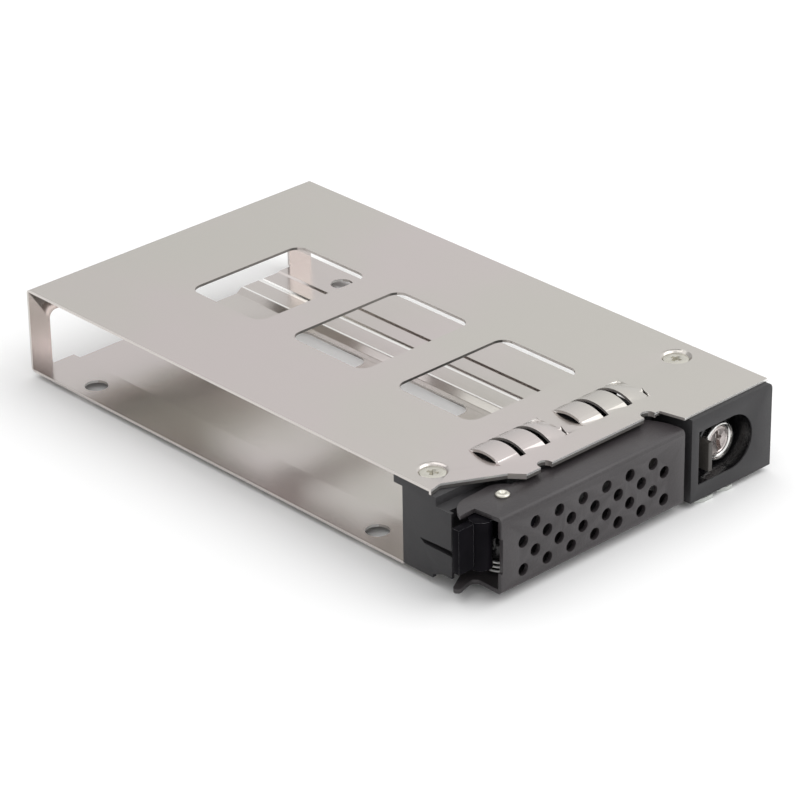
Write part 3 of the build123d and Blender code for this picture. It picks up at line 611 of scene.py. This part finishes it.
def repeat_tree(name):
    """Geometry tree that sets a piece at each point, turned by the point's own angles."""
    tree = bpy.data.node_groups.new(name, "GeometryNodeTree")
    tree.is_modifier = True
    face = tree.interface
    face.new_socket("Geometry", in_out="INPUT", socket_type="NodeSocketGeometry")
    sockets = {
        "Piece": face.new_socket("Piece", in_out="INPUT", socket_type="NodeSocketObject"),
        "Size": face.new_socket("Size", in_out="INPUT", socket_type="NodeSocketFloat"),
        "Finish": face.new_socket("Finish", in_out="INPUT", socket_type="NodeSocketMaterial"),
    }
    sockets["Size"].default_value = 1.0
    face.new_socket("Geometry", in_out="OUTPUT", socket_type="NodeSocketGeometry")
    new, link = tree.nodes.new, tree.links.new
    given, result = new("NodeGroupInput"), new("NodeGroupOutput")
    info = new("GeometryNodeObjectInfo")
    turn = new("GeometryNodeInputNamedAttribute")
    turn.data_type = "FLOAT_VECTOR"
    turn.inputs["Name"].default_value = "turn"
    euler = new("FunctionNodeEulerToRotation")
    spread = new("GeometryNodeInstanceOnPoints")
    real = new("GeometryNodeRealizeInstances")
    paint = new("GeometryNodeSetMaterial")
    link(given.outputs["Piece"], info.inputs["Object"])
    link(given.outputs["Geometry"], spread.inputs["Points"])
    link(info.outputs["Geometry"], spread.inputs["Instance"])
    link(turn.outputs["Attribute"], euler.inputs[0])
    link(euler.outputs[0], spread.inputs["Rotation"])
    link(given.outputs["Size"], spread.inputs["Scale"])
    link(spread.outputs["Instances"], real.inputs["Geometry"])
    link(real.outputs["Geometry"], paint.inputs["Geometry"])
    link(given.outputs["Finish"], paint.inputs["Material"])
    link(paint.outputs["Geometry"], result.inputs["Geometry"])
    return tree, {key: socket.identifier for key, socket in sockets.items()}


def repeated(name, source, spots, material):
    """One mesh with a source mesh at each (place, turn) of a list."""
    tree, keys = repeat_tree(name)
    points = bpy.data.meshes.new(name + "_points")
    points.from_pydata([place for place, turn in spots], [], [])
    angles = points.attributes.new("turn", "FLOAT_VECTOR", "POINT")
    for k, (place, turn) in enumerate(spots):
        angles.data[k].vector = turn
    carrier = linked(name + "_points", points)
    model = linked(name + "_model", source)
    modifier = carrier.modifiers.new("Repeat", "NODES")
    modifier.node_group = tree
    modifier[keys["Piece"]] = model
    modifier[keys["Size"]] = 1.0
    modifier[keys["Finish"]] = material
    mesh = applied(carrier)
    bpy.data.objects.remove(model)
    smooth_by_angle(mesh)
    return mesh


# Turned and cut meshes


def pin_mesh(sides):
    """Pivot pin with a low crowned head and a dimple in it."""
    low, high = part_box("pivot_pin")
    head = radius("pivot_pin")
    shank = head - PIN_SHOULDER
    crown = high.z - PIN_CROWN
    seat = crown - PIN_HEAD
    profile = [(0, low.z), (shank * 0.9, low.z), (shank, low.z + 0.1 * MM), (shank, seat), (head, seat),
               (head, crown - PIN_CHAMFER), (head * 0.93, crown), (head * 0.72, high.z - 0.03 * MM),
               (head * 0.60, high.z - 0.01 * MM), (head * 0.50, high.z - 0.04 * MM),
               (head * 0.30, high.z - 0.30 * MM), (0, high.z - 0.36 * MM)]
    middle = centre("pivot_pin")
    pin = turned(profile, sides, Matrix.Translation((middle.x, middle.y, 0)))
    smooth_by_angle(pin, SHARP_PIN)
    return pin


def barrel_mesh(sides):
    """Lock barrel with its thread, a thin bright rim and the bore for the plug."""
    low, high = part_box("lock_barrel")
    face = high.y - low.y
    head = radius("lock_barrel")
    body = head - LOCK_RIM
    bore = radius("lock_plug") + PLUG_PLAY
    turns = int((face - LOCK_PLAIN) / LOCK_PITCH)
    profile = [(bore, 0), (body, 0)]
    for k in range(turns):
        profile += [(body, k * LOCK_PITCH + 0.05 * MM), (body - LOCK_THREAD, k * LOCK_PITCH + 0.25 * MM)]
    profile += [(body, turns * LOCK_PITCH), (body, face - LOCK_HEAD), (head, face - LOCK_HEAD),
                (head, face - 0.45 * MM), (head - 0.10 * MM, face - 0.12 * MM), (head - 0.24 * MM, face),
                (head - 0.46 * MM, face), (head - 0.58 * MM, face - 0.30 * MM),
                (bore + 0.14 * MM, face - 0.36 * MM), (bore, face - 0.5 * MM)]
    ring = turned(profile, sides, along_y("lock_barrel"))
    smooth_by_angle(ring)
    return ring


def plug_mesh(sides, turn):
    """Lock plug with a raised rim and the keyway cut into it."""
    low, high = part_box("lock_plug")
    face = high.y - low.y
    rim = radius("lock_plug")
    step = high.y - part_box("lock_cam")[0].y + PLUG_PAST_CAM
    blank = turned([(0, 0), (PLUG_TAIL, 0), (PLUG_TAIL, step), (rim, step), (rim, face - 0.18 * MM),
                    (rim - 0.18 * MM, face), (rim - 0.5 * MM, face), (rim - 0.62 * MM, face - 0.16 * MM),
                    (0, face - 0.20 * MM)], sides)
    half, wide, reach = KEYWAY_HALF, KEYWAY_HALF * 2.3, rim * KEYWAY_REACH
    outline = [(-half, -reach), (half, -reach), (half, -0.3 * MM), (wide, 0.05 * MM), (wide, 0.55 * MM),
               (half, 0.8 * MM), (half, reach), (-half, reach)]
    keyway = prism(outline, face - KEYWAY_DEEP, face + 1 * MM)
    keyway.transform(Matrix.Rotation(turn, 4, "Z"))
    plug = carved(blank, keyway)
    plug.transform(along_y("lock_plug"))
    return plug


def shutter_mesh(turn):
    """Sloping shutter inside the keyway."""
    low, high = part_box("lock_plug")
    face = high.y - low.y
    half, end = KEYWAY_HALF * 0.9, radius("lock_plug") * KEYWAY_REACH - 0.15 * MM
    outline = [(-half, -end), (half, -end), (half, end), (-half, end)]
    shutter = prism(outline, face - SHUTTER_FAR, face - SHUTTER_NEAR)
    for vertex in shutter.vertices:
        if vertex.co.z > face - (SHUTTER_NEAR + SHUTTER_FAR) / 2:
            vertex.co.z += vertex.co.y * SHUTTER_SLOPE
    shutter.transform(Matrix.Rotation(turn, 4, "Z"))
    shutter.transform(along_y("lock_plug"))
    return shutter


def collar_mesh(sides):
    """Black ring round the lock."""
    low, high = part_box("lock_collar")
    deep = high.y - low.y
    outer = radius("lock_collar")
    inner = radius("lock_barrel") - LOCK_RIM + COLLAR_PLAY
    profile = [(inner, 0), (outer, 0), (outer, deep - 0.45 * MM), (outer - 0.12 * MM, deep - 0.14 * MM),
               (outer - 0.42 * MM, deep), (inner, deep)]
    collar = turned(profile, sides, along_y("lock_collar"))
    smooth_by_angle(collar)
    return collar


def screw_mesh(sizes):
    """Countersunk screw with its thread and cross recess, its face at the origin."""
    low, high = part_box("top_screw_left")
    head, long = radius("top_screw_left"), high.z - low.z
    shank = SCREW_SHANK
    cone = head - shank
    profile = [(0, -long), (shank - SCREW_TIP, -long), (shank, -long + SCREW_TIP)]
    for k in range(int((long - cone - 0.4 * MM) / SCREW_PITCH)):
        base = -long + SCREW_TIP + k * SCREW_PITCH
        profile += [(shank - SCREW_THREAD, base + SCREW_PITCH * 0.5), (shank, base + SCREW_PITCH * 0.95)]
    profile += [(shank, -cone - 0.05 * MM), (head, -0.09 * MM), (head, -0.05 * MM), (head - 0.10 * MM, 0),
                (head * 0.6, 0), (0, 0)]
    arm, half, deep = sizes.recess_arm, sizes.recess_half, sizes.recess_depth
    cross = [(arm, -half), (arm, half), (half, half), (half, arm), (-half, arm), (-half, half),
             (-arm, half), (-arm, -half), (-half, -half), (-half, -arm), (half, -arm), (half, -half)]
    corner = arm * 0.42
    diamond = [(corner, 0), (0, corner), (-corner, 0), (0, -corner)]
    return carved(turned(profile, SCREW_SIDES), prism(cross, -deep, deep * 0.6, 0.52),
                  prism(diamond, -deep * 1.1, deep * 0.6, 0.6))


def insert_mesh():
    """Brass insert with two knurled bands, its middle at the origin."""
    low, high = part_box("insert_top_left")
    outer, end = radius("insert_top_left"), (high.z - low.z) / 2
    slim = outer * INSERT_GROOVE
    profile = [(INSERT_BORE, -end), (slim, -end), (outer, -end + 0.3 * MM), (outer, -0.3 * MM),
               (slim, -0.15 * MM), (slim, 0.15 * MM), (outer, 0.3 * MM), (outer, end - 0.3 * MM),
               (slim, end), (INSERT_BORE, end)]
    return turned(profile, INSERT_SIDES)


# Pieces


class TRAY_OT_shell(bpy.types.Operator):
    """Folded stainless shell"""

    bl_idname = "tray.shell"
    bl_label = "Shell"

    def execute(self, context):
        steel = stainless(context.scene.tray_finish)
        add_piece("shell", welded("tray_shell"), steel, "tray", "stainless_sheet", "tray_shell")
        return {"FINISHED"}


class TRAY_OT_front(bpy.types.Operator):
    """Front block with bezel, and the slide's cover"""

    bl_idname = "tray.front"
    bl_label = "Front block"

    def execute(self, context):
        finish, sizes = context.scene.tray_finish, context.scene.tray_sizes
        lock, tab, front = centre("lock_barrel"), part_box("release_slider")[1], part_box("front_block")[0]
        # The lock's recess and the lug by the pivot pin get painted shade and a smoother surface.
        recess = ((tab.x - RECESS_LEFT, front.y + RECESS_NEAR, lock.z - RECESS_BELOW),
                  (lock.x + RECESS_RIGHT, front.y + RECESS_DEEP, lock.z + RECESS_ABOVE))
        pivot = centre("pivot_pin")
        lug = ((pivot.x - LUG_HALF, FRONT_Y, -FAR), (pivot.x + LUG_HALF, LUG_BACK, FAR))
        plastic = grained("black_moulding", finish.moulding, finish.grain, rough=0.50, depth=0.012 * MM,
                          shaded_and_polished=(recess, lug))
        # Lighter plastic on the rounded edges: a painted highlight.
        edge = grained("moulding_edge", finish.moulding_edge, finish.grain, rough=0.30, depth=0.004 * MM)
        add_piece("front_moulding", softened("front_block", sizes.round_block), plastic,
                  "tray", "black_moulding", "front_block", painted_highlight=edge)
        dress("slider_cover", plastic)
        return {"FINISHED"}


class TRAY_OT_handle(bpy.types.Operator):
    """Perforated handle with its claw, pin and clip"""

    bl_idname = "tray.handle"
    bl_label = "Handle"

    def execute(self, context):
        finish, sizes = context.scene.tray_finish, context.scene.tray_sizes
        paint = grained("handle_paint", finish.paint, finish.grain, rough=0.40, depth=0.012 * MM)
        # Lighter paint on the rounded edges: a painted highlight.
        paint_highlight = grained("paint_edge", finish.paint_edge, finish.grain, rough=0.34, depth=0.004 * MM)
        add_piece("handle", softened("handle_channel", sizes.round_block * 0.55), paint,
                  "handle", "painted_sheet", "handle_channel", painted_highlight=paint_highlight)
        gloss = glossy_black("claw_black", shine=0.02)
        # Light grey, very glossy claw edges: a painted highlight.
        edge = glossy_black("claw_edge", shine=1.0, low=(0.22, 0.22, 0.225), high=(0.40, 0.40, 0.41))
        add_piece("claw_piece", softened("claw", sizes.round_block * 0.8), gloss,
                  "handle", "glossy_black", "claw", painted_highlight=edge)
        add_piece("pin", pin_mesh(sizes.sides), nickel(finish), "tray", "bright_pin", "pivot_pin")
        dress("pivot_clip", zinc(finish))
        return {"FINISHED"}


class TRAY_OT_slide(bpy.types.Operator):
    """Release slide with its small spring"""

    bl_idname = "tray.slide"
    bl_label = "Release slide"

    def execute(self, context):
        finish, sizes = context.scene.tray_finish, context.scene.tray_sizes
        plastic = grained("slide_plastic", finish.slide, finish.grain, rough=0.40, depth=0.006 * MM)
        add_piece("slide_piece", softened("release_slider", sizes.round_block * 0.7), plastic,
                  "slide", "slider_plastic", "release_slider")
        spring = linked("slide_spring", NODES["slider_spring"].data.copy())
        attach(spring, "tray")
        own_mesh(spring)
        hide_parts("slider_spring")
        return {"FINISHED"}


class TRAY_OT_lock(bpy.types.Operator):
    """Key lock with collar, nut and cam"""

    bl_idname = "tray.lock"
    bl_label = "Key lock"

    def execute(self, context):
        finish, sizes = context.scene.tray_finish, context.scene.tray_sizes
        chrome = metal("chrome", finish, rough=0.09, scratch=0.0004 * MM)
        satin = metal("satin", finish, rough=0.24)
        black = glossy_black("lock_black", shine=0.8, low=(0.045, 0.045, 0.047), high=(0.075, 0.075, 0.078))
        add_piece("lock_ring", barrel_mesh(sizes.sides), chrome, "tray", "lock_chrome", "lock_barrel")
        add_piece("plug", plug_mesh(sizes.sides, sizes.keyway_turn), satin,
                  "plug", "lock_plug_metal", "lock_plug")
        add_piece("key_shutter", shutter_mesh(sizes.keyway_turn), chrome, "plug", "lock_chrome")
        add_piece("collar", collar_mesh(sizes.sides), black, "tray", "lock_black", "lock_collar")
        for node in ("lock_nut", "lock_cam", "cam_screw"):
            dress(node, zinc(finish))
        return {"FINISHED"}


class TRAY_OT_screws(bpy.types.Operator):
    """Countersunk cross-head screws and their brass inserts"""

    bl_idname = "tray.screws"
    bl_label = "Screws"

    def execute(self, context):
        finish, sizes = context.scene.tray_finish, context.scene.tray_sizes
        spots = []
        for node, spin in (("top_screw_left", 0.50), ("top_screw_right", 0.16)):
            middle = centre(node)
            spots.append(((middle.x, middle.y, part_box(node)[1].z), (0, 0, spin)))
        for node, spin in (("bottom_screw_left", 0.9), ("bottom_screw_right", 0.3)):
            middle = centre(node)
            spots.append(((middle.x, middle.y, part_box(node)[0].z), (math.pi, 0, spin)))
        plating = nickel(finish)
        add_piece("screws", repeated("screws", screw_mesh(sizes), spots, plating), plating,
                  "tray", "nickel_screw",
                  "top_screw_left", "top_screw_right", "bottom_screw_left", "bottom_screw_right")

        brass = metal("brass", finish, rough=0.25)
        nodes = [f"insert_{level}_{side}" for level in ("top", "bottom") for side in ("left", "right")]
        spots = [(tuple(centre(node)), (0, 0, 0.2 * k)) for k, node in enumerate(nodes)]
        add_piece("inserts", repeated("inserts", insert_mesh(), spots, brass), brass,
                  "tray", "brass_insert", *nodes)
        return {"FINISHED"}


class TRAY_OT_pipes(bpy.types.Operator):
    """Clear light pipes under the floor"""

    bl_idname = "tray.pipes"
    bl_label = "Light pipes"

    def execute(self, context):
        clear = clear_plastic(context.scene.tray_finish)
        for node in ("light_pipe_left", "light_pipe_right"):
            add_piece(node.replace("light_", "clear_"), softened(node, PIPE_EDGE), clear,
                      "tray", "clear_pipe", node)
        return {"FINISHED"}


class TRAY_OT_stage(bpy.types.Operator):
    """Pale floor, studio light and camera"""

    bl_idname = "tray.stage"
    bl_label = "Stage"

    def execute(self, context):
        scene, stage = context.scene, context.scene.tray_stage
        scene.view_settings.view_transform = "Standard"
        self.add_sky(scene, stage)
        self.add_floor()
        self.add_lamps(stage)
        self.add_camera(scene, stage)
        return {"FINISHED"}

    def add_sky(self, scene, stage):
        """Even light, brightest from the front right."""
        scene.world = bpy.data.worlds.new("studio")
        w = Sheet(scene.world)
        bright_side = Vector((0.55, -0.62, 0.56)).normalized()
        direction = w.node("ShaderNodeTexCoord", out="Generated")
        facing = w.node("ShaderNodeVectorMath", {"operation": "DOT_PRODUCT"},
                        {0: direction, 1: bright_side}, "Value")
        level = w.smooth(facing, low=-0.95, high=0.62) * 0.62 + 0.38
        background = w.node("ShaderNodeBackground", {}, {"Color": (1, 1, 1), "Strength": level * stage.sky})
        w.node("ShaderNodeOutputWorld", {}, {"Surface": background})

    def add_floor(self):
        """Pale matt floor at the tray's lowest point."""
        mesh = bpy.data.meshes.new("floor")
        half = 3.0
        corners = ((-half, -half), (half, -half), (half, half), (-half, half))
        mesh.from_pydata([(x, y, FLOOR_Z) for x, y in corners], [], [(0, 1, 2, 3)])
        floor = linked("floor", mesh)
        material, s = new_material("floor")
        diffuse = s.node("ShaderNodeBsdfDiffuse", {}, {"Color": (0.91, 0.91, 0.91)})
        s.node("ShaderNodeOutputMaterial", {}, {"Surface": diffuse})
        mesh.materials.append(material)

    def add_lamps(self, stage):
        """Two square lamps, turned to the tray."""
        middle = Vector((0, -0.01, 0.006))
        for name, place, size, power in (("key", (0.40, -0.42, 0.66), 0.75, stage.key),
                                         ("top", (-0.10, 0.25, 0.70), 0.60, stage.top)):
            lamp = bpy.data.lights.new(name, "AREA")
            lamp.size, lamp.energy = size, power
            item = linked(name, lamp)
            item.location = place
            item.rotation_euler = (middle - Vector(place)).to_track_quat("-Z", "Y").to_euler()

    def add_camera(self, scene, stage):
        """Camera of the photo."""
        camera = bpy.data.cameras.new("photo_view")
        camera.lens = stage.lens
        camera.sensor_width = 36
        camera.clip_start, camera.clip_end = 0.01, 20
        eye = linked("photo_view", camera)
        forward, up = Vector(stage.camera_forward).normalized(), Vector(stage.camera_up).normalized()
        right = forward.cross(up).normalized()
        turn = Matrix((right, right.cross(forward), -forward)).transposed().to_4x4()
        eye.matrix_world = Matrix.Translation(Vector(stage.camera_place)) @ turn
        scene.camera = eye


class TRAY_PT_panel(bpy.types.Panel):
    """Pieces of the tray, in order"""

    bl_idname = "TRAY_PT_panel"
    bl_label = "Drive tray"
    bl_space_type = "VIEW_3D"
    bl_region_type = "UI"
    bl_category = "Tray"

    def draw(self, context):
        for piece in PIECES:
            self.layout.operator(piece.bl_idname)
        for name, group in GROUPS:
            box = self.layout.box()
            for key in group.__annotations__:
                box.prop(getattr(context.scene, name), key)


PIECES = (TRAY_OT_shell, TRAY_OT_front, TRAY_OT_handle, TRAY_OT_slide, TRAY_OT_lock, TRAY_OT_screws,
          TRAY_OT_pipes, TRAY_OT_stage)
GROUPS = (("tray_finish", TRAY_PG_finish), ("tray_sizes", TRAY_PG_sizes), ("tray_stage", TRAY_PG_stage))


def register():
    for name, group in GROUPS:
        bpy.utils.register_class(group)
        setattr(bpy.types.Scene, name, PointerProperty(type=group))
    for piece in PIECES:
        bpy.utils.register_class(piece)
    bpy.utils.register_class(TRAY_PT_panel)


def unregister():
    bpy.utils.unregister_class(TRAY_PT_panel)
    for piece in reversed(PIECES):
        bpy.utils.unregister_class(piece)
    for name, group in reversed(GROUPS):
        delattr(bpy.types.Scene, name)
        bpy.utils.unregister_class(group)


def main():
    register()
    for piece in PIECES:
        group, name = piece.bl_idname.split(".")
        getattr(getattr(bpy.ops, group), name)()


if __name__ == "__main__":
    main()
